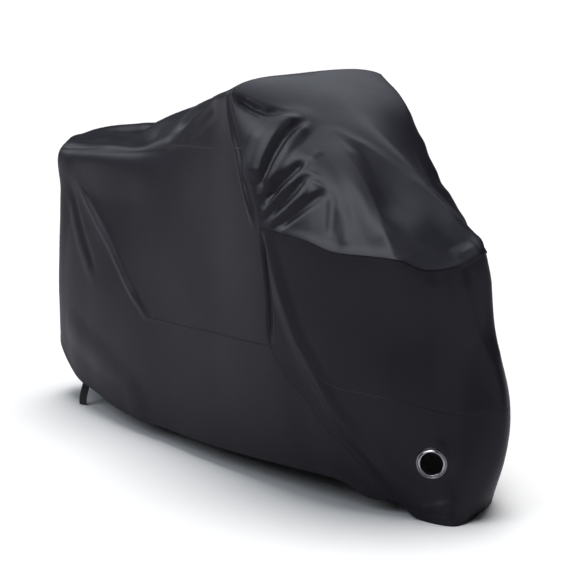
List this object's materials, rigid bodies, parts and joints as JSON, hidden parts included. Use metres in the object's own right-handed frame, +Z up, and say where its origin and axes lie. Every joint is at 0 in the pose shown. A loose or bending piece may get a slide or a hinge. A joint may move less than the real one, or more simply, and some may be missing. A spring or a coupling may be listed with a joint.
{
  "type": "motorcycle cover",
  "caption": "Hollow fitted cloth cover in the draped shape of a parked motorcycle, with a metal eyelet low on each side of the front wheel.",
  "frame": {"origin": "middle of the cover's outline on the floor", "axes": "+Z up, +X towards the front wheel, -Y the right-hand side, which the picture shows"},
  "size_m": [2.2255, 0.7882, 1.3134],
  "materials": {
    "cloth": "smooth coated polyester, satin sheen, near black",
    "webbing": "matte black woven webbing",
    "eyelet_metal": "polished dark steel"
  },
  "bodies": {
    "root": {"seat_panel": "cloth", "hood_panel": "cloth", "front_panel": "cloth", "side_panel_right": "cloth", "rear_skirt_right": "cloth", "wheel_skirt_right": "cloth", "eyelet_right": "eyelet_metal", "side_panel_left": "cloth", "rear_skirt_left": "cloth", "wheel_skirt_left": "cloth", "eyelet_left": "eyelet_metal", "rear_strap": "webbing"}
  },
  "joints": []
}
